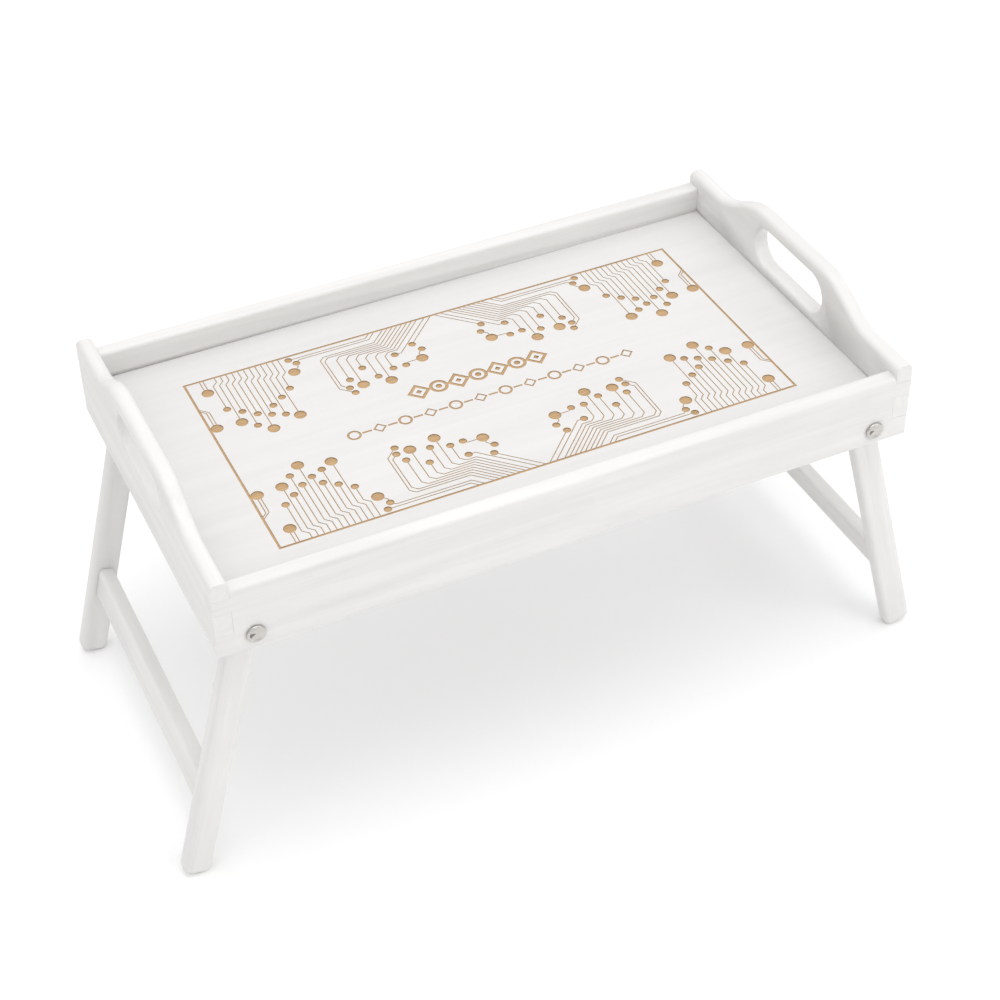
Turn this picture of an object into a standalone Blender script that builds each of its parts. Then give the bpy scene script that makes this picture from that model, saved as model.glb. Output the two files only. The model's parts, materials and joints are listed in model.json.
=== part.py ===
"""Folding bed tray: a finger-jointed pine tray with two raised end boards, standing on two
splayed leg frames that pivot on screws through the long rails and fold flat under the floor.

The origin is on the ground, under the middle of the tray. +X runs along the tray, +Z is up.
"""

import math

import bmesh
import bpy

# Tray
TRAY_LENGTH = 0.500
TRAY_WIDTH = 0.280
RAIL_THICKNESS = 0.012
RAIL_HEIGHT = 0.0515
RAIL_TOP_RADIUS = 0.0028
EASED_EDGE = 0.0015
END_THICKNESS = 0.012
END_HEIGHT = 0.060
END_TOP_RADIUS = 0.0044
HUMP_RISE = 0.0205
HUMP_TOP_HALF = 0.041
HUMP_FOOT_HALF = 0.100
SLOT_LENGTH = 0.090
SLOT_HEIGHT = 0.031
SLOT_ABOVE_FLOOR = 0.0078
FLOOR_TOP = 0.031
FLOOR_THICKNESS = 0.004
GROOVE_DEPTH = 0.005
# Heights of the corner's finger lines, from the tray's lower edge up
FINGER_LOW = 0.017
FINGER_MIDDLE = 0.035
FINGER_HIGH = 0.0465

# Leg frames
LEG_LENGTH = 0.223
LEG_WIDTH = 0.020
LEG_THICKNESS = 0.012
LEG_EDGE_RADIUS = 0.0034
FOOT_RADIUS = 0.0055
LEG_SPLAY = math.radians(14.6)
PIVOT_HEIGHT = 0.0122
STRETCHER_DROP = 0.156
STRETCHER_HEIGHT = 0.024
STRETCHER_THICKNESS = 0.011
STRETCHER_EDGE_RADIUS = 0.0024
DOWEL_RADIUS = 0.003
DOWEL_IN_LEG = 0.007
DOWEL_IN_STRETCHER = 0.016
DOWEL_SPACING = 0.014

# Pivot hardware
HEAD_RADIUS = 0.0065
HEAD_RISE = 0.0019
HEAD_RIM = 0.0008
SCREW_RADIUS = 0.0025
WASHER_RADIUS = 0.0075
WASHER_THICKNESS = 0.0019
SLEEVE_WALL = 0.0012
NUT_FLANGE_RADIUS = 0.006
NUT_FLANGE_THICKNESS = 0.0015

# Clearances
GAP = 0.0003
GROOVE_END_GAP = 0.0007
CUT_PAST = 0.004

ROUND_STEPS = 20
FILLET_STEPS = 5
HUMP_STEPS = 9

HALF_LENGTH = TRAY_LENGTH / 2
HALF_WIDTH = TRAY_WIDTH / 2
HALF_LEG = LEG_WIDTH / 2
SCREW_BORE = SCREW_RADIUS + GAP
SLEEVE_RADIUS = SCREW_BORE + SLEEVE_WALL
LEG_HOLE = SLEEVE_RADIUS + GAP
# The open leg's outer side lies a gap off the end board's lower inner edge, which stops it.
PIVOT_INSET = (HALF_LEG + GAP + PIVOT_HEIGHT * math.sin(LEG_SPLAY)) / math.cos(LEG_SPLAY)
PIVOT_X = HALF_LENGTH - END_THICKNESS - PIVOT_INSET
# The lowest point of a splayed leg is on the round of its inner foot corner.
LEG_DROP = (
    (LEG_LENGTH - FOOT_RADIUS) * math.cos(LEG_SPLAY)
    + (HALF_LEG - FOOT_RADIUS) * math.sin(LEG_SPLAY)
    + FOOT_RADIUS
)
TRAY_BASE = LEG_DROP - PIVOT_HEIGHT
LEG_OUTER_Y = HALF_WIDTH - RAIL_THICKNESS - GAP - WASHER_THICKNESS - GAP
LEG_INNER_Y = LEG_OUTER_Y - LEG_THICKNESS
STRETCHER_END_Y = LEG_INNER_Y - GAP
SLOT_BOTTOM = FLOOR_TOP + SLOT_ABOVE_FLOOR


def clear_scene():
    for obj in list(bpy.data.objects):
        bpy.data.objects.remove(obj, do_unlink=True)


def material(name, colour, roughness, metallic=0.0):
    made = bpy.data.materials.new(name)
    made.use_nodes = True
    shader = made.node_tree.nodes["Principled BSDF"]
    shader.inputs["Base Color"].default_value = (*colour, 1)
    shader.inputs["Roughness"].default_value = roughness
    shader.inputs["Metallic"].default_value = metallic
    return made


def axes(name, location, turn=0.0):
    """An empty that a group of pieces hangs from, turned about Y."""
    empty = bpy.data.objects.new(name, None)
    empty.location = location
    empty.rotation_euler = (0, turn, 0)
    bpy.context.scene.collection.objects.link(empty)
    return empty


def add(name, mesh, parent, finish=None):
    obj = bpy.data.objects.new(name, mesh)
    bpy.context.scene.collection.objects.link(obj)
    obj.parent = parent
    if finish:
        mesh.materials.append(finish)
    return obj


def filleted(corners):
    """The outline through (x, y, radius) corners, each rounded by an arc of its radius."""
    points = []
    for i, (x, y, radius) in enumerate(corners):
        before = corners[i - 1]
        after = corners[(i + 1) % len(corners)]
        if not radius:
            points.append((x, y))
            continue
        a = math.atan2(before[1] - y, before[0] - x)
        b = math.atan2(after[1] - y, after[0] - x)
        half = ((b - a + math.pi) % (2 * math.pi) - math.pi) / 2
        reach = radius / abs(math.sin(half))
        middle = a + half
        cx = x + reach * math.cos(middle)
        cy = y + reach * math.sin(middle)
        sweep = math.copysign(math.pi / 2 - abs(half), -half)
        for step in range(FILLET_STEPS + 1):
            angle = middle + math.pi - sweep + 2 * sweep * step / FILLET_STEPS
            point = (cx + radius * math.cos(angle), cy + radius * math.sin(angle))
            # Two arcs that fill a whole end meet in one point.
            if not points or math.dist(point, points[-1]) > GAP / 100:
                points.append(point)
    if math.dist(points[0], points[-1]) < GAP / 100:
        points.pop()
    return points


def prism(outline, axis, low, high, soft_edge=0.0):
    """A mesh of the outline drawn across the axis and extruded along it from low to high, with
    the edges round both ends rounded by soft_edge."""
    place = {
        "X": lambda u, v, w: (w, u, v),
        "Y": lambda u, v, w: (u, w, v),
        "Z": lambda u, v, w: (u, v, w),
    }[axis]
    shape = bmesh.new()
    near = [shape.verts.new(place(u, v, low)) for u, v in outline]
    far = [shape.verts.new(place(u, v, high)) for u, v in outline]
    shape.faces.new(near)
    shape.faces.new(far)
    rims = []
    for i in range(len(outline)):
        after = (i + 1) % len(outline)
        shape.faces.new((near[i], near[after], far[after], far[i]))
        rims.append(shape.edges.get((near[i], near[after])))
        rims.append(shape.edges.get((far[i], far[after])))
    bmesh.ops.recalc_face_normals(shape, faces=shape.faces)
    if soft_edge:
        bmesh.ops.bevel(
            shape,
            geom=rims,
            offset=soft_edge,
            segments=FILLET_STEPS - 1,
            profile=0.5,
            affect="EDGES",
            clamp_overlap=True,
        )
    mesh = bpy.data.meshes.new("prism")
    shape.to_mesh(mesh)
    shape.free()
    return mesh


def box(low, high):
    """A mesh of the box between two corners."""
    outline = [(low[0], low[1]), (high[0], low[1]), (high[0], high[1]), (low[0], high[1])]
    return prism(outline, "Z", low[2], high[2])


def circle(radius, cx=0.0, cy=0.0):
    turn = 2 * math.pi / ROUND_STEPS
    return [
        (cx + radius * math.cos(i * turn), cy + radius * math.sin(i * turn))
        for i in range(ROUND_STEPS)
    ]


def turned(profile):
    """A mesh turned about the Y axis from (radius, y) points, closed where the radius is 0
    or, for a ring, from the last point back to the first."""
    shape = bmesh.new()
    rings = []
    for radius, y in profile:
        if radius:
            rings.append([shape.verts.new((u, y, v)) for u, v in circle(radius)])
        else:
            rings.append([shape.verts.new((0, y, 0))])
    pairs = list(zip(rings, rings[1:]))
    if len(rings[0]) > 1 and len(rings[-1]) > 1:
        pairs.append((rings[-1], rings[0]))
    for one, other in pairs:
        for i in range(ROUND_STEPS):
            after = (i + 1) % ROUND_STEPS
            if len(one) == 1:
                shape.faces.new((one[0], other[after], other[i]))
            elif len(other) == 1:
                shape.faces.new((one[i], one[after], other[0]))
            else:
                shape.faces.new((one[i], one[after], other[after], other[i]))
    bmesh.ops.recalc_face_normals(shape, faces=shape.faces)
    mesh = bpy.data.meshes.new("turned")
    shape.to_mesh(mesh)
    shape.free()
    mesh.shade_smooth()
    mesh.set_sharp_from_angle(angle=math.radians(35))
    return mesh


def cut(obj, name, mesh):
    """Takes the mesh out of the object with a hidden cutter beside it."""
    cutter = add(name, mesh, obj.parent)
    cutter.location = obj.location
    cutter.hide_render = True
    cutter.display_type = "WIRE"
    modifier = obj.modifiers.new(name, "BOOLEAN")
    modifier.operation = "DIFFERENCE"
    modifier.solver = "EXACT"
    modifier.object = cutter


def rail(name, side, tray, finish):
    """A long rail. side is -1 at the front and 1 at the back."""
    outer = side * HALF_WIDTH
    inner = side * (HALF_WIDTH - RAIL_THICKNESS)
    low_y, high_y = sorted((outer, inner))
    section = filleted(
        [
            (low_y, 0, EASED_EDGE),
            (high_y, 0, EASED_EDGE),
            (high_y, RAIL_HEIGHT, RAIL_TOP_RADIUS),
            (low_y, RAIL_HEIGHT, RAIL_TOP_RADIUS),
        ]
    )
    obj = add(name, prism(section, "X", -HALF_LENGTH, HALF_LENGTH), tray, finish)
    floor_low = FLOOR_TOP - FLOOR_THICKNESS - GAP
    groove_bottom = inner + side * (GROOVE_DEPTH + GROOVE_END_GAP)
    groove_y = sorted((groove_bottom, inner - side * CUT_PAST))
    cut(
        obj,
        name + "_groove_cutter",
        box(
            (-HALF_LENGTH + END_THICKNESS - GAP, groove_y[0], floor_low),
            (HALF_LENGTH - END_THICKNESS + GAP, groove_y[1], FLOOR_TOP + GAP),
        ),
    )
    for end_name, end in (("left", -1), ("right", 1)):
        across = sorted((end * (HALF_LENGTH + CUT_PAST), end * (HALF_LENGTH - END_THICKNESS - GAP)))
        along = (low_y - CUT_PAST, high_y + CUT_PAST)
        for part, low, high in (
            ("middle", FINGER_LOW - GAP / 2, FINGER_MIDDLE + GAP / 2),
            ("top", FINGER_HIGH - GAP / 2, RAIL_HEIGHT + CUT_PAST),
        ):
            cut(
                obj,
                f"{name}_{end_name}_{part}_finger_cutter",
                box((across[0], along[0], low), (across[1], along[1], high)),
            )
        cut(
            obj,
            f"{name}_{end_name}_pivot_hole_cutter",
            prism(circle(SCREW_BORE, end * PIVOT_X, PIVOT_HEIGHT), "Y", *along),
        )


def hump_height(y):
    """How far the end board's top edge stands above its ends, at y across the tray."""
    share = (HUMP_FOOT_HALF - abs(y)) / (HUMP_FOOT_HALF - HUMP_TOP_HALF)
    share = min(1.0, max(0.0, share))
    return HUMP_RISE * (1 - math.cos(math.pi * share)) / 2


def end_board_blank(low_x, high_x):
    """A board across the tray whose top edge is rounded over its thickness and rises to a hump."""
    run = HUMP_FOOT_HALF - HUMP_TOP_HALF
    rise = [HUMP_FOOT_HALF - run * i / HUMP_STEPS for i in range(HUMP_STEPS + 1)]
    stations = [HALF_WIDTH] + rise + [-y for y in reversed(rise)] + [-HALF_WIDTH]
    shape = bmesh.new()
    rings = []
    for y in stations:
        top = END_HEIGHT + hump_height(y)
        section = filleted(
            [
                (low_x, 0, 0),
                (high_x, 0, 0),
                (high_x, top, END_TOP_RADIUS),
                (low_x, top, END_TOP_RADIUS),
            ]
        )
        rings.append([shape.verts.new((x, y, z)) for x, z in section])
    for one, other in zip(rings, rings[1:]):
        for i in range(len(one)):
            after = (i + 1) % len(one)
            shape.faces.new((one[i], one[after], other[after], other[i]))
    shape.faces.new(rings[0])
    shape.faces.new(rings[-1])
    bmesh.ops.recalc_face_normals(shape, faces=shape.faces)
    mesh = bpy.data.meshes.new("end_board")
    shape.to_mesh(mesh)
    shape.free()
    return mesh


def end_board(name, end, tray, finish):
    """A raised end board with a handle slot. end is -1 at the left and 1 at the right."""
    outer = end * HALF_LENGTH
    inner = end * (HALF_LENGTH - END_THICKNESS)
    low_x, high_x = sorted((outer, inner))
    obj = add(name, end_board_blank(low_x, high_x), tray, finish)
    past = (low_x - CUT_PAST, high_x + CUT_PAST)
    slot_top = SLOT_BOTTOM + SLOT_HEIGHT
    slot_half = SLOT_LENGTH / 2
    end_radius = SLOT_HEIGHT / 2
    slot = filleted(
        [
            (-slot_half, SLOT_BOTTOM, end_radius),
            (slot_half, SLOT_BOTTOM, end_radius),
            (slot_half, slot_top, end_radius),
            (-slot_half, slot_top, end_radius),
        ]
    )
    cut(obj, name + "_handle_slot_cutter", prism(slot, "X", *past))
    groove_x = sorted((inner + end * (GROOVE_DEPTH + GROOVE_END_GAP), inner - end * CUT_PAST))
    groove_half = HALF_WIDTH - RAIL_THICKNESS + GROOVE_DEPTH + GROOVE_END_GAP
    cut(
        obj,
        name + "_groove_cutter",
        box(
            (groove_x[0], -groove_half, FLOOR_TOP - FLOOR_THICKNESS - GAP),
            (groove_x[1], groove_half, FLOOR_TOP + GAP),
        ),
    )
    for side_name, side in (("front", -1), ("back", 1)):
        across = sorted(
            (side * (HALF_WIDTH + CUT_PAST), side * (HALF_WIDTH - RAIL_THICKNESS - GAP))
        )
        for part, low, high in (
            ("low", -CUT_PAST, FINGER_LOW + GAP / 2),
            ("high", FINGER_MIDDLE - GAP / 2, FINGER_HIGH + GAP / 2),
        ):
            cut(
                obj,
                f"{name}_{side_name}_{part}_finger_cutter",
                box((past[0], across[0], low), (past[1], across[1], high)),
            )


def floor_panel(tray, finish):
    """The thin floor, held on all four edges in the rails' and end boards' grooves."""
    half_x = HALF_LENGTH - END_THICKNESS + GROOVE_DEPTH
    half_y = HALF_WIDTH - RAIL_THICKNESS + GROOVE_DEPTH
    mesh = box((-half_x, -half_y, FLOOR_TOP - FLOOR_THICKNESS), (half_x, half_y, FLOOR_TOP))
    panel = add("floor_panel", mesh, tray, finish)
    # The middle fingers of the end boards and rails cross the panel's corners.
    for end_name, end in (("left", -1), ("right", 1)):
        for side_name, side in (("front", -1), ("back", 1)):
            xs = sorted((end * (half_x + CUT_PAST), end * (HALF_LENGTH - END_THICKNESS - GAP)))
            ys = sorted((side * (half_y + CUT_PAST), side * (HALF_WIDTH - RAIL_THICKNESS - GAP)))
            cut(
                panel,
                f"floor_{end_name}_{side_name}_notch_cutter",
                box((xs[0], ys[0], 0), (xs[1], ys[1], RAIL_HEIGHT)),
            )


def leg(name, side, frame, finish):
    """One leg, drawn pointing straight down from its pivot. side is -1 at the front."""
    outline = filleted(
        [
            (-HALF_LEG, -LEG_LENGTH, FOOT_RADIUS),
            (HALF_LEG, -LEG_LENGTH, FOOT_RADIUS),
            (HALF_LEG, HALF_LEG, HALF_LEG),
            (-HALF_LEG, HALF_LEG, HALF_LEG),
        ]
    )
    low_y, high_y = sorted((side * LEG_OUTER_Y, side * LEG_INNER_Y))
    obj = add(name, prism(outline, "Y", low_y, high_y, LEG_EDGE_RADIUS), frame, finish)
    past = (low_y - CUT_PAST, high_y + CUT_PAST)
    cut(obj, name + "_pivot_hole_cutter", prism(circle(LEG_HOLE), "Y", *past))
    inner = side * LEG_INNER_Y
    hole = sorted((inner + side * (DOWEL_IN_LEG + GAP), inner - side * CUT_PAST))
    for place, z in dowel_heights():
        bore = circle(DOWEL_RADIUS + GAP, 0, z)
        cut(obj, f"{name}_{place}_dowel_hole_cutter", prism(bore, "Y", *hole))


def dowel_heights():
    half = DOWEL_SPACING / 2
    return (("upper", -STRETCHER_DROP + half), ("lower", -STRETCHER_DROP - half))


def stretcher(name, frame, finish):
    """The bar that ties a frame's two legs together."""
    half_x = STRETCHER_THICKNESS / 2
    top = -STRETCHER_DROP + STRETCHER_HEIGHT / 2
    bottom = -STRETCHER_DROP - STRETCHER_HEIGHT / 2
    section = filleted(
        [
            (-half_x, bottom, STRETCHER_EDGE_RADIUS),
            (half_x, bottom, STRETCHER_EDGE_RADIUS),
            (half_x, top, STRETCHER_EDGE_RADIUS),
            (-half_x, top, STRETCHER_EDGE_RADIUS),
        ]
    )
    obj = add(name, prism(section, "Y", -STRETCHER_END_Y, STRETCHER_END_Y), frame, finish)
    for side_name, side in (("front", -1), ("back", 1)):
        hole = sorted(
            (
                side * (STRETCHER_END_Y - DOWEL_IN_STRETCHER - GAP),
                side * (STRETCHER_END_Y + CUT_PAST),
            )
        )
        for place, z in dowel_heights():
            bore = circle(DOWEL_RADIUS + GAP, 0, z)
            cut(obj, f"{name}_{side_name}_{place}_dowel_hole_cutter", prism(bore, "Y", *hole))


def dowel(name, side, z, frame, finish):
    outer = side * (LEG_INNER_Y + DOWEL_IN_LEG)
    inner = side * (STRETCHER_END_Y - DOWEL_IN_STRETCHER)
    mesh = turned([(0, outer), (DOWEL_RADIUS, outer), (DOWEL_RADIUS, inner), (0, inner)])
    obj = add(name, mesh, frame, finish)
    obj.location = (0, 0, z)


def pivot_hardware(corner, side, pivot, steel):
    """A domed screw from outside the rail, a washer between rail and leg, and a sleeve nut that
    the leg turns on."""
    seat = side * (HALF_WIDTH + GAP)
    dome = [(0, seat + side * HEAD_RISE)]
    for step in range(1, FILLET_STEPS + 1):
        angle = math.pi / 2 * step / FILLET_STEPS
        height = HEAD_RIM + (HEAD_RISE - HEAD_RIM) * math.cos(angle)
        dome.append((HEAD_RADIUS * math.sin(angle), seat + side * height))
    tip = side * (LEG_INNER_Y + GAP)
    shank = [(HEAD_RADIUS, seat), (SCREW_RADIUS, seat), (SCREW_RADIUS, tip), (0, tip)]
    add(corner + "_pivot_screw", turned(dome + shank), pivot, steel)

    washer_outer = side * (HALF_WIDTH - RAIL_THICKNESS - GAP)
    washer_inner = washer_outer - side * WASHER_THICKNESS
    ring = [
        (SCREW_BORE, washer_outer),
        (WASHER_RADIUS, washer_outer),
        (WASHER_RADIUS, washer_inner),
        (SCREW_BORE, washer_inner),
    ]
    add(corner + "_pivot_washer", turned(ring), pivot, steel)

    sleeve_end = side * (LEG_OUTER_Y - GAP)
    flange_seat = side * (LEG_INNER_Y - GAP)
    flange_back = flange_seat - side * NUT_FLANGE_THICKNESS
    nut = [
        (0, tip - side * GAP),
        (SCREW_BORE, tip - side * GAP),
        (SCREW_BORE, sleeve_end),
        (SLEEVE_RADIUS, sleeve_end),
        (SLEEVE_RADIUS, flange_seat),
        (NUT_FLANGE_RADIUS, flange_seat),
        (NUT_FLANGE_RADIUS, flange_back),
        (0, flange_back),
    ]
    add(corner + "_sleeve_nut", turned(nut), pivot, steel)


def leg_frame(name, end, wood, dowel_wood):
    """Two legs, their stretcher and dowels, turned out to the splay about the pivot."""
    frame = axes(
        name + "_leg_frame_axis", (end * PIVOT_X, 0, TRAY_BASE + PIVOT_HEIGHT), -end * LEG_SPLAY
    )
    stretcher(name + "_stretcher", frame, wood)
    for side_name, side in (("front", -1), ("back", 1)):
        leg(f"{side_name}_{name}_leg", side, frame, wood)
        for place, z in dowel_heights():
            dowel(f"{side_name}_{name}_{place}_dowel", side, z, frame, dowel_wood)


def build():
    clear_scene()
    painted = material("white_painted_pine", (0.87, 0.87, 0.86), 0.45)
    bare = material("bare_beech", (0.62, 0.45, 0.28), 0.6)
    steel = material("nickel_plated_steel", (0.62, 0.60, 0.57), 0.28, 1.0)
    tray = axes("tray_axes", (0, 0, TRAY_BASE))
    rail("front_rail", -1, tray, painted)
    rail("back_rail", 1, tray, painted)
    end_board("left_end_board", -1, tray, painted)
    end_board("right_end_board", 1, tray, painted)
    floor_panel(tray, painted)
    for end_name, end in (("left", -1), ("right", 1)):
        leg_frame(end_name, end, painted, bare)
        pivot = axes(end_name + "_pivot_axis", (end * PIVOT_X, 0, TRAY_BASE + PIVOT_HEIGHT))
        for side_name, side in (("front", -1), ("back", 1)):
            pivot_hardware(f"{side_name}_{end_name}", side, pivot, steel)


build()
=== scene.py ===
# %% [markdown]
# # A folding bed tray in white-painted pine
#
# The tray has a thin engraved floor held in grooves by two long rails and two raised end boards.
# It stands on two splayed leg frames, which turn on screws through the rails. The measured frame
# of the object is loaded first, so that every piece below goes exactly where its joint is.

import json
import math

import bmesh
import bpy
from mathutils import Matrix, Vector
from mathutils.geometry import delaunay_2d_cdt


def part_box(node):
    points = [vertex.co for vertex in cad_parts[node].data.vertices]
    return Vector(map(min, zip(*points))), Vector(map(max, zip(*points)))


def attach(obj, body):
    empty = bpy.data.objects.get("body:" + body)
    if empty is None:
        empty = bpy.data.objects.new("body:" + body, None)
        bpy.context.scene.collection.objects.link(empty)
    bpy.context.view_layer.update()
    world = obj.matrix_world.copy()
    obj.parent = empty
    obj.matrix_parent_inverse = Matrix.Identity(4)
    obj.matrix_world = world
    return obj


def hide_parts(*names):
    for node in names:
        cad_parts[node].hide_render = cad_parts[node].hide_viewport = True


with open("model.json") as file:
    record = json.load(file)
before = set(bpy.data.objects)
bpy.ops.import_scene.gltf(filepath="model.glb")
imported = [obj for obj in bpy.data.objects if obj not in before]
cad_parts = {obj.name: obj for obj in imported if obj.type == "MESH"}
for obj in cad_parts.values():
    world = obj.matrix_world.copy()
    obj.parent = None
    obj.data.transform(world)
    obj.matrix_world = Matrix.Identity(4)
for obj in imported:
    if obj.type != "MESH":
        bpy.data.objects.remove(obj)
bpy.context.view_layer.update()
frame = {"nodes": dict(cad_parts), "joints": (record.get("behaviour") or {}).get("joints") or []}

# %% [markdown]
# ## Sizes
#
# The frame's own boxes give the sizes that the finished pieces share. A size read from a box
# can't drift away from the real joint, which a number typed twice can.

# %% Read the sizes
front_low, front_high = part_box("front_rail")
floor_low, floor_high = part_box("floor_panel")
left_low, left_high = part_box("left_end_board")
tray_base = front_low[2]
end_thickness = left_high[0] - left_low[0]
inner_half_length = front_high[0] - end_thickness
inner_half_width = -front_high[1]
floor_top = floor_high[2]
# The frame leaves this much between pieces that fit together.
frame_gap = 0.0003
print(f"tray base {tray_base:.4f}, floor top {floor_top:.4f}")
print(f"inside {2 * inner_half_length:.3f} by {2 * inner_half_width:.3f}")

# %% [markdown]
# ## Camera
#
# The camera stands in front and to the left, and looks down on the tray. A long lens keeps the
# rails nearly parallel. A camera can be aimed with a constraint, but a matrix worked out once
# from a place and an aim stays put when other things move. A small shift frames the tray without
# turning the camera.

# %% Place the camera


def in_scene(name, data):
    """A new object in the scene that shows this data."""
    made = bpy.data.objects.new(name, data)
    bpy.context.scene.collection.objects.link(made)
    return made


def looking(place, aim):
    """The matrix of an object that stands at a place and looks at an aim along its own -Z."""
    turn = (Vector(aim) - Vector(place)).to_track_quat("-Z", "Y")
    return Matrix.Translation(place) @ turn.to_matrix().to_4x4()


camera_place = Vector((-0.4809, -1.0544, tray_base + 0.9172))
camera_aim = Vector((-0.0405, 0.0091, tray_base))
camera_roll = math.radians(-2.5)

lens = bpy.data.cameras.new("camera")
lens.sensor_width = 36
lens.lens = 76
lens.shift_x = 0.070
lens.shift_y = -0.070
camera = in_scene("camera", lens)
camera.matrix_world = looking(camera_place, camera_aim) @ Matrix.Rotation(camera_roll, 4, "Z")
bpy.context.scene.camera = camera
print("camera distance", round((camera_aim - camera_place).length, 3))

# %% [markdown]
# ## Studio
#
# A white product stands out from a white sweep only by its soft shading and its shadow. The
# surroundings are brightest overhead and darker to the sides, so upright faces come out a little
# greyer than level ones. A large lamp above keeps the shadow under the tray, and a second one
# from the front right fills the long rail. Smaller, harder lamps would draw a sharp outline that
# a tent of white cloth doesn't.

# %% Light the studio


def colour_ramp(tree, value, stops):
    """The colour that passes through (position, colour) stops as a value rises."""
    node = tree.nodes.new("ShaderNodeValToRGB")
    elements = node.color_ramp.elements
    while len(elements) < len(stops):
        elements.new(0.5)
    for element, (position, colour) in zip(elements, stops):
        element.position = position
        element.color = (*colour, 1)
    tree.links.new(value, node.inputs["Fac"])
    return node.outputs["Color"]


world = bpy.data.worlds.new("studio")
bpy.context.scene.world = world
world.use_nodes = True
sky = world.node_tree
sky.nodes.clear()
sky_out = sky.nodes.new("ShaderNodeOutputWorld")
sky_light = sky.nodes.new("ShaderNodeBackground")
sky_split = sky.nodes.new("ShaderNodeSeparateXYZ")
sky_place = sky.nodes.new("ShaderNodeTexCoord")
side_tone = (0.56, 0.56, 0.56)
overhead_tone = (1, 1, 1)
sky_tone = colour_ramp(sky, sky_split.outputs["Z"], [(0.0, side_tone), (0.75, overhead_tone)])
sky.links.new(sky_place.outputs["Generated"], sky_split.inputs[0])
sky.links.new(sky_tone, sky_light.inputs["Color"])
sky.links.new(sky_light.outputs[0], sky_out.inputs["Surface"])
sky_light.inputs["Strength"].default_value = 1.12


def soft_lamp(name, place, size, power):
    """A square lamp that faces the middle of the tray."""
    light = bpy.data.lights.new(name, "AREA")
    light.shape = "SQUARE"
    light.size = size
    light.energy = power
    in_scene(name, light).matrix_world = looking(place, (0, 0, floor_top))


soft_lamp("overhead_lamp", place=(-0.1, -0.2, 1.8), size=1.2, power=7.5)
soft_lamp("front_lamp", place=(0.9, -1.2, 0.9), size=0.8, power=3.5)

bpy.context.scene.view_settings.view_transform = "Standard"
print("lamps", len(bpy.data.lights))

# %% [markdown]
# The sweep is one large level sheet. It needs no horizon, because the camera looks down and sees
# nothing but the sheet behind the tray.

# %% Lay the sweep


def new_material(name):
    """A material, its node tree and its Principled shader."""
    made = bpy.data.materials.new(name)
    made.use_nodes = True
    return made, made.node_tree, made.node_tree.nodes["Principled BSDF"]


reach = 30.0
sweep_mesh = bpy.data.meshes.new("sweep")
sweep_mesh.from_pydata(
    [(-reach, -reach, 0), (reach, -reach, 0), (reach, reach, 0), (-reach, reach, 0)],
    [],
    [(0, 1, 2, 3)],
)
sweep = in_scene("sweep", sweep_mesh)
sweep_paint, _, sweep_shader = new_material("sweep_paper")
sweep_shader.inputs["Base Color"].default_value = (0.95, 0.95, 0.95, 1)
sweep_shader.inputs["Roughness"].default_value = 0.9
sweep_shader.inputs["Specular IOR Level"].default_value = 0.1
sweep_mesh.materials.append(sweep_paint)
print("sweep", 2 * reach, "m across")

# %% [markdown]
# ## Pine under thin paint
#
# The paint is thin enough that the pine's grain still shows as faint grey streaks. Real grain is
# a stack of yearly rings cut lengthways. Fine noise stretched along the board gives the fibres,
# and broader noise, a little distorted, gives the wider bands of the rings. A third noise mottles
# the paint. A Wave texture would draw the rings too regularly. All three are in one node group,
# since every board uses them, and each board's own Mapping node turns the group's X axis to run
# along that board.

# %% Grain group


def new_group(name, inputs, outputs):
    """An empty node group with named sockets."""
    group = bpy.data.node_groups.new(name, "ShaderNodeTree")
    for label, kind in inputs:
        group.interface.new_socket(label, in_out="INPUT", socket_type=kind)
    for label, kind in outputs:
        group.interface.new_socket(label, in_out="OUTPUT", socket_type=kind)
    return group, group.nodes.new("NodeGroupInput"), group.nodes.new("NodeGroupOutput")


def math_node(tree, operation, a, b):
    """A Math node with its two values joined or set."""
    node = tree.nodes.new("ShaderNodeMath")
    node.operation = operation
    for socket, value in zip(node.inputs, (a, b)):
        if isinstance(value, (int, float)):
            socket.default_value = value
        else:
            tree.links.new(value, socket)
    return node.outputs[0]


def stretched(tree, vector, scale):
    """The vector with each axis scaled, to stretch a pattern along the board."""
    node = tree.nodes.new("ShaderNodeVectorMath")
    node.operation = "MULTIPLY"
    tree.links.new(vector, node.inputs[0])
    node.inputs[1].default_value = scale
    return node.outputs[0]


def noise(tree, vector, scale, detail=3.0, roughness=0.5, distortion=0.0):
    """A value from 0 to 1 that wanders with the vector."""
    node = tree.nodes.new("ShaderNodeTexNoise")
    tree.links.new(vector, node.inputs["Vector"])
    node.inputs["Scale"].default_value = scale
    node.inputs["Detail"].default_value = detail
    node.inputs["Roughness"].default_value = roughness
    node.inputs["Distortion"].default_value = distortion
    return node.outputs["Fac"]


def spread(tree, value, low, high):
    """A value from 0 to 1, spread between low and high."""
    node = tree.nodes.new("ShaderNodeMapRange")
    node.inputs["To Min"].default_value = low
    node.inputs["To Max"].default_value = high
    tree.links.new(value, node.inputs["Value"])
    return node.outputs[0]


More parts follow.
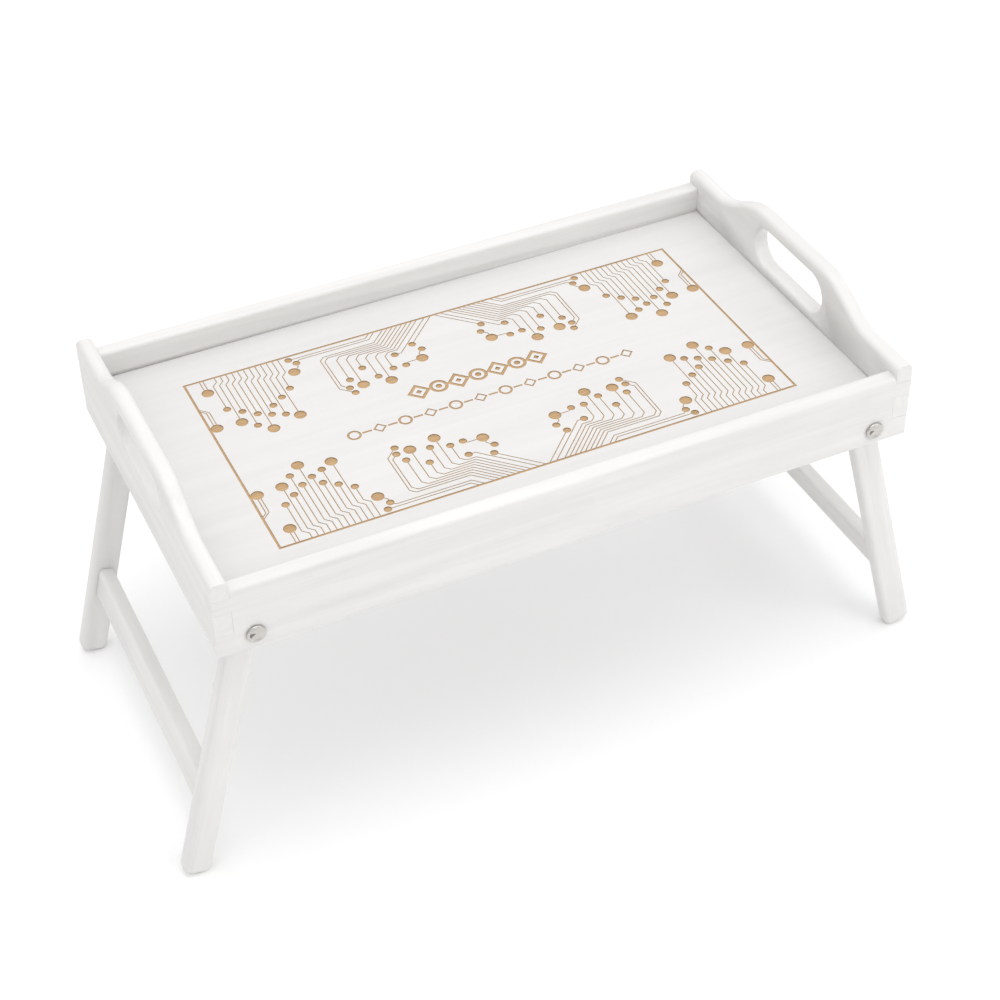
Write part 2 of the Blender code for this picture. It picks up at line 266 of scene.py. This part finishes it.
fibre_stretch = (6, 190, 190)
ring_stretch = (2.2, 34, 34)
grain_group, grain_in, grain_out = new_group(
    "pine_grain",
    [("Vector", "NodeSocketVector")],
    [("Fibres", "NodeSocketFloat"), ("Rings", "NodeSocketFloat"), ("Mottle", "NodeSocketFloat")],
)
fine = stretched(grain_group, grain_in.outputs["Vector"], fibre_stretch)
fibres = noise(grain_group, fine, 4.0, detail=4.0, roughness=0.65)
broad = stretched(grain_group, grain_in.outputs["Vector"], ring_stretch)
rings = noise(grain_group, broad, 2.4, detail=2.0, roughness=0.45, distortion=0.8)
mottle = noise(grain_group, grain_in.outputs["Vector"], 22.0, detail=2.0)
grain_group.links.new(fibres, grain_out.inputs["Fibres"])
grain_group.links.new(rings, grain_out.inputs["Rings"])
grain_group.links.new(mottle, grain_out.inputs["Mottle"])
print("grain group sockets", len(grain_group.interface.items_tree))

# %% [markdown]
# ### The painted finish
#
# Thin paint is mostly one white, with a slightly warmer and greyer tone where the darker rings
# show through it. The fibres raise the surface a little and break up its gloss. The group gives
# the tone and the height, and the Principled shader stays in each material.

# %% Painted pine material
ring_share = 0.62
fibre_share = 0.26
mottle_share = 0.12


def painted_pine(name, turn=(0, 0, 0), shift=(0, 0, 0), tone=(0.78, 0.77, 0.757), streak=0.87):
    """White paint over pine whose grain runs along X once turned by the Mapping node.

    streak is how much of the paint's tone is left where the grain shows most.
    """
    made, tree, shader = new_material(name)
    place = tree.nodes.new("ShaderNodeTexCoord")
    mapping = tree.nodes.new("ShaderNodeMapping")
    mapping.vector_type = "TEXTURE"
    mapping.inputs["Rotation"].default_value = turn
    mapping.inputs["Location"].default_value = shift
    tree.links.new(place.outputs["Object"], mapping.inputs["Vector"])
    grain = tree.nodes.new("ShaderNodeGroup")
    grain.node_tree = grain_group
    tree.links.new(mapping.outputs[0], grain.inputs["Vector"])

    ring_part = math_node(tree, "MULTIPLY", grain.outputs["Rings"], ring_share)
    fibre_part = math_node(tree, "MULTIPLY", grain.outputs["Fibres"], fibre_share)
    mottle_part = math_node(tree, "MULTIPLY", grain.outputs["Mottle"], mottle_share)
    mixed = math_node(tree, "ADD", math_node(tree, "ADD", ring_part, fibre_part), mottle_part)
    streak_tone = [value * streak for value in tone]
    shade = colour_ramp(tree, mixed, [(0.30, streak_tone), (0.72, tone)])
    tree.links.new(shade, shader.inputs["Base Color"])
    tree.links.new(spread(tree, grain.outputs["Fibres"], 0.44, 0.60), shader.inputs["Roughness"])

    bump = tree.nodes.new("ShaderNodeBump")
    bump.inputs["Strength"].default_value = 0.35
    bump.inputs["Distance"].default_value = 0.0002
    height = math_node(tree, "ADD", grain.outputs["Fibres"], ring_part)
    tree.links.new(height, bump.inputs["Height"])
    tree.links.new(bump.outputs[0], shader.inputs["Normal"])
    shader.inputs["Specular IOR Level"].default_value = 0.42
    return made


# %% [markdown]
# ## Glued joints
#
# The frame keeps a gap round each joint, so that its solids stay apart. On the real tray the
# joints are glued and only a hairline shows. A vertex that lies on a joint's face is therefore
# moved to where the glued joint has it. Scaling the boards would close the gaps as well, but
# it would change sizes that are right.

# %% Close the joints
finger_lines = [tray_base + z for z in (0.017, 0.035, 0.0465)]
glue_line = 0.00008
# How near a vertex lies to a joint's face, to a corner joint and to a finger's side.
face_reach = 0.00005
joint_reach = 0.0005
finger_reach = 0.0002


def snug(co):
    """The place of a vertex once its joint is glued up, with a hairline left. The groove's upper
    lip comes down on the floor, and the corner fingers close on each other."""
    x, y, z = co
    if abs(z - floor_top - frame_gap) < face_reach:
        z = floor_top + glue_line / 2
    in_rail = abs(co.x) > inner_half_length - joint_reach
    in_board = abs(co.y) > inner_half_width - joint_reach
    if not (in_rail and in_board):
        return Vector((x, y, z))
    for line in finger_lines:
        if abs(z - line) < finger_reach:
            z = line + math.copysign(glue_line / 2, z - line)
    if abs(abs(x) - (inner_half_length - frame_gap)) < face_reach:
        x = math.copysign(inner_half_length - glue_line, x)
    if abs(abs(y) - (inner_half_width - frame_gap)) < face_reach:
        y = math.copysign(inner_half_width - glue_line, y)
    return Vector((x, y, z))


print("finger lines", [round(line, 4) for line in finger_lines])

# %% [markdown]
# ## Eased boards
#
# Every board in the frame is exact but sharp. Real boards are sanded: a narrow round on each
# edge catches the light, and without it a white board has no outline. A board is therefore
# copied, its loose triangles are merged into whole faces, and a Bevel modifier rounds its edges.
# Modelling each board again from nothing would give the same shape with more to go wrong.

# %% Ease a board
crease_angle = math.radians(28)


def eased(node, finish, body, widest, width_at):
    """A copy of a frame node with rounded edges, standing in for it.

    width_at gives how wide the round is on the edge whose middle is at a point.
    """
    source = bpy.data.objects[node]
    shape = bmesh.new()
    shape.from_mesh(source.data)
    bmesh.ops.remove_doubles(shape, verts=shape.verts, dist=2e-6)
    bmesh.ops.dissolve_limit(
        shape,
        angle_limit=math.radians(0.6),
        verts=shape.verts,
        edges=shape.edges,
        use_dissolve_boundaries=False,
    )
    if body == "tray":
        for vert in shape.verts:
            vert.co = snug(vert.co)
    weight = shape.edges.layers.float.new("bevel_weight_edge")
    for line in shape.edges:
        if line.calc_face_angle(0) > crease_angle:
            middle = (line.verts[0].co + line.verts[1].co) / 2
            line[weight] = width_at(middle) / widest
    mesh = bpy.data.meshes.new(node + "_eased")
    shape.to_mesh(mesh)
    shape.free()
    mesh.materials.clear()
    mesh.materials.append(finish)
    piece = in_scene(node + "_eased", mesh)
    mesh.shade_smooth()
    bevel = piece.modifiers.new("eased_edges", "BEVEL")
    bevel.width = widest
    bevel.segments = 3
    bevel.limit_method = "WEIGHT"
    bevel.use_clamp_overlap = True
    bevel.harden_normals = True
    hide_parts(node)
    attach(piece, body)


print("crease angle", round(math.degrees(crease_angle)))

# %% [markdown]
# How wide a round is depends on where its edge lies. A joint stays crisp, and so does the groove
# that grips the floor. The handle slot is well rounded, since fingers go round it.

# %% Widths of the rounds
crisp_round = 0.00015
soft_round = 0.0004
board_round = 0.0007
slot_round = 0.0018
edge_margin = 0.001
slot_half_reach = 0.05
slot_clear_of_floor = 0.004


def in_groove(middle):
    """Whether an edge belongs to the groove that holds the floor."""
    return floor_low[2] - edge_margin < middle.z < floor_top + edge_margin


def rail_ease(middle):
    """Sharp along the groove, crisp at the corner joints and soft elsewhere."""
    at_joint = abs(middle.x) > inner_half_length - edge_margin
    if in_groove(middle) and not at_joint:
        return 0.0
    return crisp_round if at_joint else soft_round


def end_board_ease(middle):
    """Crisp at the joints, well rounded round the handle slot, and eased elsewhere."""
    if abs(middle.y) > inner_half_width - edge_margin:
        return crisp_round
    if in_groove(middle):
        return 0.0
    if abs(middle.y) < slot_half_reach and middle.z > floor_top + slot_clear_of_floor:
        return slot_round
    return board_round


def frame_ease(middle):
    """The same soft round all over a leg or a stretcher."""
    return soft_round


print("rounds from", crisp_round, "to", slot_round)

# %% [markdown]
# ### Rails, end boards, legs and stretchers
#
# Grain always runs the long way of a piece, because that is how it is strong. So the rails' grain
# runs along the tray, the end boards' across it, and each leg's down the leg, which means turning
# it by the leg's splay.

# %% Make the boards
quarter = math.radians(90)
folded_turn = frame["joints"][0]["range_deg"][1]
splay = math.radians(folded_turn - 90)
print("splay", round(math.degrees(splay), 1))

rail_paint = {
    "front_rail": painted_pine("front_rail_paint", shift=(0.13, 0, 0)),
    "back_rail": painted_pine("back_rail_paint", shift=(0.61, 0.3, 0)),
}
for node, finish in rail_paint.items():
    eased(node, finish, "tray", soft_round, rail_ease)

for node, shift in (("left_end_board", 0.2), ("right_end_board", 0.7)):
    finish = painted_pine(node + "_paint", (0, 0, quarter), (shift, shift, 0.05))
    eased(node, finish, "tray", slot_round, end_board_ease)

for end, sign in (("left", -1), ("right", 1)):
    body = end + "_leg_frame"
    for side, shift in (("front", 0.11), ("back", 0.53)):
        node = f"{side}_{end}_leg"
        finish = painted_pine(node + "_paint", (0, quarter - sign * splay, 0), (shift, 0, shift))
        eased(node, finish, body, soft_round, frame_ease)
    node = end + "_stretcher"
    finish = painted_pine(node + "_paint", (0, 0, quarter), (0.31, 0.4, 0.02))
    eased(node, finish, body, soft_round, frame_ease)

# %% [markdown]
# ## The engraved floor
#
# A laser cuts the floor's pattern through the paint, so each line is a shallow channel of bare,
# lightly scorched wood. Bump alone would leave the channels flat, and a Boolean with hundreds of
# lines is slow. Here the pattern's outlines and the floor's own outline are triangulated
# together. Triangles that fall inside the pattern are then sunk, and walls join them to the rest.
#
# The pattern is an invented circuit. Tracks leave the border, bend by an eighth of a turn at a
# time and end in round pads. One quarter of it is laid out by rule and mirrored to the other
# three. Tracks of one group keep the same order through every bend, so none crosses another.

# %% Drawing tools
track_width = 0.00070
border_half = Vector((0.189, 0.094))
border_width = 0.0017
small_pad = 0.0028
large_pad = 0.0044
tracks = []
pads = []


def track_outline(points, width):
    """The closed outline of a track, mitred where it bends."""
    sides = ([], [])
    for i, point in enumerate(points):
        before = (point - points[i - 1]).normalized() if i else None
        after = (points[i + 1] - point).normalized() if i + 1 < len(points) else None
        lead = (before or after) + (after or before)
        lead.normalize()
        across = Vector((-lead.y, lead.x))
        mitre = width / 2 / max(0.4, lead.dot(after or before))
        sides[0].append(point + across * mitre)
        sides[1].append(point - across * mitre)
    return sides[1] + sides[0][::-1]


def ring_of_points(middle, radius, count):
    """A round outline or, with few points, a diamond."""
    turn = 2 * math.pi / count
    return [
        middle + radius * Vector((math.cos(i * turn), math.sin(i * turn))) for i in range(count)
    ]


def box_outline(low, high):
    """The outline of a box, anticlockwise from its low corner."""
    around = ((low.x, low.y), (high.x, low.y), (high.x, high.y), (low.x, high.y))
    return [Vector(xy) for xy in around]


def draw(quarter_signs, points, pad=None):
    """Adds a track and its end pad. A point is (distance from the middle, depth inside the long
    side), and the signs choose the quarter it is mirrored to."""
    sx, sy = quarter_signs
    placed = [Vector((sx * u, sy * (border_half.y - v))) for u, v in points]
    tracks.append(placed)
    if pad:
        pads.append((placed[-1], pad))


print("border", *(round(2 * side, 3) for side in border_half))

# %% [markdown]
# The group near each corner drops from the long side in evenly spaced tracks that jog outwards.
# A track ends deeper than its neighbours where its pad is large, which leaves the pad its room.

# %% Draw the corner groups
quarters = [(-1, -1), (1, -1), (1, 1), (-1, 1)]
corner_depths = (
    0.038, 0.056, 0.045, 0.064, 0.052, 0.072, 0.057, 0.048, 0.061, 0.042, 0.066, 0.035
)
corner_large = (1, 5, 10)
corner_start = 0.167
corner_step = 0.0043
jog = 0.0038
for signs in quarters:
    for i, depth in enumerate(corner_depths):
        u = corner_start - corner_step * i
        bend = 0.0055 + 0.0010 * i
        pad = large_pad if i in corner_large else small_pad
        draw(signs, [(u, 0), (u, bend), (u + jog, bend + jog), (u + jog, depth)], pad)
    # A pair of tracks beside the corner shares one large pad.
    for u in (0.1755, 0.1780):
        draw(signs, [(u, 0), (u, 0.013)])
    draw(signs, [(0.17675, 0.0120), (0.17675, 0.0150)], large_pad)
    # Another pair leaves the short side, runs beside it and shares a pad too.
    for apart in (0, 0.0022):
        u = 0.1830 + apart
        draw(signs, [(border_half.x, 0.0300 + apart), (u, 0.036), (u, 0.052)])
    draw(signs, [(0.1841, 0.0515), (0.1841, 0.0550)], large_pad)
print("corner tracks", len(tracks), "pads", len(pads))

# %% [markdown]
# The group nearer the middle leaves the long side on a slant, runs level and then drops. Its
# outermost track has the shallowest level part and the farthest drop, so the group nests.

# %% Draw the side groups
drop_places = (0.0500, 0.0565, 0.0630, 0.0695, 0.0760, 0.0825, 0.0905, 0.0930)
drop_depths = (0.046, 0.058, 0.050, 0.036, 0.054, 0.045, 0.049, 0.0515)
side_large = (1, 4)
side_start = 0.012
side_step = 0.0038
soften = 0.0035
count = len(drop_places)
for signs in quarters:
    for i, (drop, depth) in enumerate(zip(drop_places, drop_depths)):
        u = side_start + side_step * i
        level = 0.0120 + 0.0022 * (count - 1 - i)
        points = [(u, 0), (u + level, level), (drop - soften, level), (drop, level + soften)]
        points.append((drop, depth))
        if i >= count - 2:
            # The outermost two curl back inwards below the others.
            back = 0.0085 if i == count - 1 else 0.0045
            points.append((drop - back, depth + back))
        draw(signs, points, large_pad if i in side_large else small_pad)
    # Two tracks on the inner side of the group stop early, and two short links join loose pads.
    draw(signs, [(0.0060, 0), (0.0380, 0.0320), (0.0430, 0.0320)], small_pad)
    draw(signs, [(0.0010, 0), (0.0270, 0.0260)], small_pad)
    draw(signs, [(0.0230, 0.0340), (0.0270, 0.0380), (0.0270, 0.0440)], large_pad)
    draw(signs, [(0.0270, 0.0440), (0.0380, 0.0440), (0.0405, 0.0465)], small_pad)
    pads.append((tracks[-2][0], small_pad))
    # Two tracks run along the border between the two groups.
    draw(signs, [(0.0455, 0), (0.0525, 0.0070), (0.1060, 0.0070), (0.1090, 0.0100)], small_pad)
    draw(signs, [(0.0495, 0), (0.0540, 0.0045), (0.1130, 0.0045)], small_pad)
    draw(signs, [(0.1090, 0.0100), (0.1090, 0.0140), (0.1140, 0.0190)], large_pad)
print("tracks", len(tracks), "pads", len(pads))

# %% [markdown]
# The middle carries a plain ornament of two rows: large diamonds and rings, and below them a
# longer row of small ones joined by dashes. The rows stand slightly above the floor's middle.

# %% Draw the ornament
outlines = []
large_count = 7
large_step = 0.0150
large_row = 0.0150
small_count = 23
small_step = 0.0094
small_row = -0.0095
dash_half = Vector((0.0034, 0.0008))
for i in range(large_count):
    middle = Vector((large_step * (i - (large_count - 1) / 2), large_row))
    sides, outer_reach, inner_reach = (40, 0.0068, 0.0044) if i % 2 else (4, 0.0088, 0.0055)
    outer = ring_of_points(middle, outer_reach, sides)
    inner = ring_of_points(middle, inner_reach, sides)
    outlines.append(("ring", outer, inner))
    outlines.append(("pad", ring_of_points(middle, 0.0023, 4 if i % 2 == 0 else 20), None))
for i in range(small_count):
    middle = Vector((small_step * (i - (small_count - 1) / 2), small_row))
    if i % 2:
        outlines.append(("track", box_outline(middle - dash_half, middle + dash_half), None))
    else:
        sides = 4 if i % 4 else 32
        outer = ring_of_points(middle, 0.0050, sides)
        inner = ring_of_points(middle, 0.0034, sides)
        outlines.append(("ring", outer, inner))

for points in tracks:
    outlines.append(("track", track_outline(points, track_width), None))
for middle, radius in pads:
    outlines.append(("pad", ring_of_points(middle, radius, 28), None))
half_line = Vector((border_width, border_width)) / 2
outer = border_half + half_line
inner = border_half - half_line
outlines.append(("ring", box_outline(-outer, outer), box_outline(-inner, inner)))
print("outlines", len(outlines))

# %% [markdown]
# ### Sinking the pattern
#
# The triangulation says which outlines each triangle lies in, and that decides how deep it sits:
# pads are burnt deepest, tracks and rings less, and a ring's inside not at all.

# %% Triangulate the floor
depth_of_kind = {"pad": 0.0007, "track": 0.0003, "ring": 0.0004}
notch = Vector((inner_half_length + frame_gap, inner_half_width + frame_gap))
edge = Vector((floor_high[0], floor_high[1]))
panel = []
for sx, sy in quarters:
    step = [(edge.x, notch.y), (notch.x, notch.y), (notch.x, edge.y)]
    placed = [Vector((sx * x, sy * y)) for x, y in step]
    panel += placed if sx * sy > 0 else placed[::-1]

flat_points = list(panel)
loops = [list(range(len(panel)))]
role_of = [("panel", "outer", 0)]
for number, (kind, outer, inner) in enumerate(outlines):
    for role, loop in (("outer", outer), ("inner", inner)):
        if loop is None:
            continue
        loops.append(list(range(len(flat_points), len(flat_points) + len(loop))))
        flat_points += loop
        role_of.append((kind, role, number))

flat, _, triangles, _, _, owners = delaunay_2d_cdt(flat_points, [], loops, 0, 1e-6, True)


def sunk_depth(held_by):
    """How far a triangle inside these loops lies below the floor's top."""
    roles = [role_of[i] for i in held_by]
    holes = {number for kind, role, number in roles if role == "inner"}
    cuts = [
        depth_of_kind[kind]
        for kind, role, number in roles
        if kind != "panel" and role == "outer" and number not in holes
    ]
    return max(cuts, default=0.0)


kept = [(tri, sunk_depth(held)) for tri, held in zip(triangles, owners) if 0 in held]
print("floor triangles", len(kept), "cut", sum(depth > 0 for _, depth in kept))

# %% [markdown]
# Where two depths meet, a wall joins them. A wall's upright edge takes in every depth that is in
# use at its corner, so that the walls meeting there share their points and the mesh is closed.

# %% Build the floor mesh
shape = bmesh.new()
corners = {}
thickness = floor_high[2] - floor_low[2]


def corner(i, depth):
    """The vertex of flat point i at this depth below the floor's top."""
    if (i, depth) not in corners:
        corners[i, depth] = shape.verts.new((flat[i].x, flat[i].y, floor_top - depth))
    return corners[i, depth]


depths_at = {}
depth_beside = {}
for tri, depth in kept:
    face = shape.faces.new([corner(i, depth) for i in tri])
    face.material_index = int(depth > 0)
    for a, b in zip(tri, tri[1:] + tri[:1]):
        depth_beside[a, b] = depth
        depths_at.setdefault(a, set()).add(depth)


def upright(i, low, high):
    """The vertices of point i from the deeper level up to the shallower one."""
    between = [depth for depth in depths_at[i] if high <= depth <= low]
    return [corner(i, depth) for depth in sorted(between, reverse=True)]


for (a, b), depth in depth_beside.items():
    other = depth_beside.get((b, a))
    if other is None:
        # The panel's outer edge: a wall down to the underside.
        top = (corner(b, 0.0), corner(a, 0.0))
        shape.faces.new((*top, corner(a, thickness), corner(b, thickness)))
    elif depth > other:
        wall = shape.faces.new(upright(a, depth, other) + upright(b, depth, other)[::-1])
        # Walls take the third finish, which is browner with scorch and with painted shade.
        wall.material_index = 2
shape.faces.new([corner(i, thickness) for i in range(len(panel))][::-1])
bmesh.ops.recalc_face_normals(shape, faces=shape.faces)
open_edges = sum(len(line.link_faces) != 2 for line in shape.edges)
floor_mesh = bpy.data.meshes.new("engraved_floor")
shape.to_mesh(floor_mesh)
shape.free()
floor_piece = in_scene("engraved_floor", floor_mesh)
print("floor faces", len(floor_mesh.polygons), "open edges", open_edges)

# %% [markdown]
# ### Bare and scorched wood
#
# The bottom of each channel is tan bare wood with a slight grain. Its walls are browner, partly
# with scorch where the beam lingered and partly with painted shade that darkens the channel walls.

# %% Floor materials


def scorched_wood(name, pale, dark):
    """Bare wood, from a pale tone to a dark one along its fibres."""
    made, tree, shader = new_material(name)
    place = tree.nodes.new("ShaderNodeTexCoord")
    grain = tree.nodes.new("ShaderNodeGroup")
    grain.node_tree = grain_group
    tree.links.new(place.outputs["Object"], grain.inputs["Vector"])
    shade = colour_ramp(tree, grain.outputs["Fibres"], [(0.34, dark), (0.62, pale)])
    tree.links.new(shade, shader.inputs["Base Color"])
    shader.inputs["Roughness"].default_value = 0.85
    shader.inputs["Specular IOR Level"].default_value = 0.2
    return made


floor_tone = (0.70, 0.69, 0.68)
floor_finishes = [
    painted_pine("floor_paint", shift=(0.4, 0.15, 0.3), tone=floor_tone, streak=0.93),
    scorched_wood("cut_wood", (0.54, 0.36, 0.195), (0.40, 0.26, 0.14)),
    # The walls' darker tones are partly scorch and partly painted shade for the shadow on the
    # channel walls.
    scorched_wood("scorched_and_shaded_wall", (0.37, 0.26, 0.145), (0.28, 0.19, 0.10)),
]
for finish in floor_finishes:
    floor_mesh.materials.append(finish)
print("floor finishes", len(floor_mesh.materials))
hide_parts("floor_panel")
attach(floor_piece, "tray")

# %% [markdown]
# ## Pivot screws
#
# Four round-headed screws pass through the rails into the legs. Their heads are alike, so one
# head is turned from a profile and Geometry Nodes set it on four points. Object copies would
# do for four, but the node tree keeps one profile to edit, and its result is one plain mesh.
#
# A turned head carries fine rings, and they gather its reflections into light and dark fans that
# meet at the middle. Real rings this fine would need a mesh of their own, so one dark fan of
# reflection is painted into the colour by angle, as a painted reflection.

# %% Nickel finish
black = (0, 0, 0)
white = (1, 1, 1)
# A Mix node has sockets for every kind of data. These are the places of its colour ones.
mix_first, mix_second, mix_result = 6, 7, 2


def nickel(name):
    """Nickel plate with faint smears and one dark fan of reflection painted into its colour."""
    made, tree, shader = new_material(name)
    place = tree.nodes.new("ShaderNodeTexCoord")
    smears = noise(tree, place.outputs["Object"], 420.0, 3.0, 0.6)
    tree.links.new(spread(tree, smears, 0.16, 0.34), shader.inputs["Roughness"])
    tone = colour_ramp(tree, smears, [(0.0, (0.47, 0.45, 0.425)), (1.0, (0.62, 0.605, 0.58))])
    shader.inputs["Metallic"].default_value = 1.0

    # The turning map holds the angle round the head and the distance from its middle.
    turning = tree.nodes.new("ShaderNodeUVMap")
    turning.uv_map = "turning"
    split = tree.nodes.new("ShaderNodeSeparateXYZ")
    tree.links.new(turning.outputs["UV"], split.inputs[0])
    # The dark fan is a painted reflection: the colour darkens in a sector set by the angle round
    # the head and the distance from its middle.
    reflection_angle_stops = [(0.42, black), (0.46, white), (0.55, white), (0.60, black)]
    reflection_radius_stops = [(0.02, black), (0.10, white), (0.66, white), (0.76, black)]
    around = colour_ramp(tree, split.outputs["X"], reflection_angle_stops)
    across = colour_ramp(tree, split.outputs["Y"], reflection_radius_stops)
    painted_reflection_fan = math_node(tree, "MULTIPLY", around, across)
    painted_reflection_mix = tree.nodes.new("ShaderNodeMix")
    painted_reflection_mix.data_type = "RGBA"
    tree.links.new(painted_reflection_fan, painted_reflection_mix.inputs["Factor"])
    tree.links.new(tone, painted_reflection_mix.inputs[mix_first])
    painted_reflection_mix.inputs[mix_second].default_value = (0.17, 0.165, 0.16, 1)
    tree.links.new(painted_reflection_mix.outputs[mix_result], shader.inputs["Base Color"])
    return made


nickel_finish = nickel("nickel_plate")
print("finish", nickel_finish.name)

# %% [markdown]
# The head is a thin round disc, dished in the middle inside a rolled rim. Its radius and rise
# come from the frame's own screw. The profile is turned round Y, and its shank reaches to the
# leg's inner side. The turning map is made with it, for the painted reflection fan.

# %% Turn one screw
ends = ("left", "right")
screw_nodes = [f"{side}_{end}_pivot_screw" for end in ends for side in ("front", "back")]
screw_low, screw_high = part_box("front_left_pivot_screw")
head_radius = (screw_high[0] - screw_low[0]) / 2
head_seat = front_low[1] - frame_gap
head_rise = head_seat - screw_low[1]
shank_end = screw_high[1]
shank_radius = 0.0025
facets = 48


def turned_screw(seat_to_tip):
    """A screw along +Y, its head's seat at the origin and its head towards -Y."""
    r = head_radius
    h = head_rise
    profile = [
        (0.0, -h * 0.42),
        (r * 0.20, -h * 0.44),
        (r * 0.40, -h * 0.52),
        (r * 0.58, -h * 0.66),
        (r * 0.72, -h * 0.84),
        (r * 0.80, -h * 0.96),
        (r * 0.86, -h),
        (r * 0.92, -h * 0.96),
        (r * 0.97, -h * 0.80),
        (r, -h * 0.52),
        (r, -h * 0.15),
        (r * 0.985, 0.0),
        (shank_radius, 0.0),
        (shank_radius, seat_to_tip),
        (0.0, seat_to_tip),
    ]
    screw_shape = bmesh.new()
    rings = []
    for radius, y in profile:
        if radius == 0:
            rings.append([screw_shape.verts.new((0, y, 0))])
            continue
        ring = []
        for i in range(facets):
            angle = 2 * math.pi * i / facets
            place = (radius * math.cos(angle), y, radius * math.sin(angle))
            ring.append(screw_shape.verts.new(place))
        rings.append(ring)
    for one, other in zip(rings, rings[1:]):
        for i in range(facets):
            j = (i + 1) % facets
            if len(one) == 1:
                screw_shape.faces.new((one[0], other[i], other[j]))
            elif len(other) == 1:
                screw_shape.faces.new((one[i], one[j], other[0]))
            else:
                screw_shape.faces.new((one[i], one[j], other[j], other[i]))
    bmesh.ops.recalc_face_normals(screw_shape, faces=screw_shape.faces)
    turning = screw_shape.loops.layers.uv.new("turning")
    for face in screw_shape.faces:
        middle = face.calc_center_median()
        face_share = (math.atan2(middle.z, middle.x) / (2 * math.pi)) % 1
        for loop in face.loops:
            co = loop.vert.co
            share = (math.atan2(co.z, co.x) / (2 * math.pi)) % 1
            if co.x ** 2 + co.z ** 2 < 1e-10 or abs(share - face_share) > 0.5:
                share = face_share
            loop[turning].uv = (share, math.hypot(co.x, co.z) / r)
    mesh = bpy.data.meshes.new("pivot_screw_master")
    screw_shape.to_mesh(mesh)
    screw_shape.free()
    mesh.shade_smooth()
    mesh.set_sharp_from_angle(angle=math.radians(50))
    return mesh


screw_master = in_scene("pivot_screw_master", turned_screw(shank_end - head_seat))
screw_master.hide_render = True
print("screw head radius", round(head_radius, 4), "rise", round(head_rise, 4))

# %% [markdown]
# The points carry the place of each head. Screws in the back rail face the other way, so each
# point also stores how far its screw is turned about Z.

# %% Points for the screws
point_mesh = bpy.data.meshes.new("pivot_points")
places = []
for node in screw_nodes:
    low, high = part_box(node)
    x = (low[0] + high[0]) / 2
    z = (low[2] + high[2]) / 2
    y = head_seat if node.startswith("front") else -head_seat
    places.append((x, y, z))
point_mesh.from_pydata(places, [], [])
facing = point_mesh.attributes.new("facing", "FLOAT", "POINT")
for i, (x, y, z) in enumerate(places):
    facing.data[i].value = 0.0 if y < 0 else math.pi
screw_points = in_scene("pivot_points", point_mesh)
print("screw points", len(places))

# %% [markdown]
# The tree sets the piece on every point, turned by the stored facing. It ends by making the
# copies real and giving them their finish, since copies that are only instances don't export.

# %% Node tree that sets a piece on points
tree = bpy.data.node_groups.new("set_on_points", "GeometryNodeTree")
sockets = tree.interface
sockets.new_socket("Geometry", in_out="INPUT", socket_type="NodeSocketGeometry")
piece_socket = sockets.new_socket("Piece", in_out="INPUT", socket_type="NodeSocketObject")
finish_socket = sockets.new_socket("Finish", in_out="INPUT", socket_type="NodeSocketMaterial")
size_socket = sockets.new_socket("Size", in_out="INPUT", socket_type="NodeSocketFloat")
size_socket.default_value = 1.0
sockets.new_socket("Geometry", in_out="OUTPUT", socket_type="NodeSocketGeometry")
group_in = tree.nodes.new("NodeGroupInput")
group_out = tree.nodes.new("NodeGroupOutput")
info = tree.nodes.new("GeometryNodeObjectInfo")
facing_in = tree.nodes.new("GeometryNodeInputNamedAttribute")
facing_in.data_type = "FLOAT"
facing_in.inputs["Name"].default_value = "facing"
spin = tree.nodes.new("ShaderNodeCombineXYZ")
spin_turn = tree.nodes.new("FunctionNodeEulerToRotation")
setter = tree.nodes.new("GeometryNodeInstanceOnPoints")
solid = tree.nodes.new("GeometryNodeRealizeInstances")
painter = tree.nodes.new("GeometryNodeSetMaterial")
tree.links.new(group_in.outputs["Geometry"], setter.inputs["Points"])
tree.links.new(group_in.outputs["Piece"], info.inputs["Object"])
tree.links.new(info.outputs["Geometry"], setter.inputs["Instance"])
tree.links.new(facing_in.outputs["Attribute"], spin.inputs["Z"])
tree.links.new(spin.outputs[0], spin_turn.inputs[0])
tree.links.new(spin_turn.outputs[0], setter.inputs["Rotation"])
tree.links.new(group_in.outputs["Size"], setter.inputs["Scale"])
tree.links.new(setter.outputs["Instances"], solid.inputs["Geometry"])
tree.links.new(solid.outputs["Geometry"], painter.inputs["Geometry"])
tree.links.new(group_in.outputs["Finish"], painter.inputs["Material"])
tree.links.new(painter.outputs["Geometry"], group_out.inputs["Geometry"])
print("set_on_points nodes", len(tree.nodes))

# %% [markdown]
# The tree is used as a modifier on the points. Its evaluated result is copied into one plain
# mesh, and the points and the single screw are then removed.

# %% Set the screws and keep one plain mesh
modifier = screw_points.modifiers.new("set_on_points", "NODES")
modifier.node_group = tree
modifier[piece_socket.identifier] = screw_master
modifier[finish_socket.identifier] = nickel_finish
modifier[size_socket.identifier] = 1.0
bpy.context.view_layer.update()
evaluated = screw_points.evaluated_get(bpy.context.evaluated_depsgraph_get())
screw_mesh = bpy.data.meshes.new_from_object(evaluated)
screw_mesh.name = "pivot_screws"
screws = in_scene("pivot_screws", screw_mesh)
bpy.data.objects.remove(screw_points, do_unlink=True)
bpy.data.objects.remove(screw_master, do_unlink=True)
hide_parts(*screw_nodes)
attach(screws, "tray")
print("screw faces", len(screw_mesh.polygons))

# %% [markdown]
# ## Washers, nuts and dowels
#
# These small pieces hardly show, and their shapes in the frame are already right. They keep
# their meshes and only get their finishes.

# %% Finish the small pieces
bare_beech = scorched_wood("bare_beech", (0.62, 0.45, 0.28), (0.50, 0.35, 0.20))
small_finish = {"_dowel": bare_beech, "_pivot_washer": nickel_finish, "_sleeve_nut": nickel_finish}
small_pieces = 0
for name in frame["nodes"]:
    for ending, finish in small_finish.items():
        if name.endswith(ending):
            small_pieces += 1
            for slot in bpy.data.objects[name].material_slots:
                slot.material = finish
print("small pieces", small_pieces)
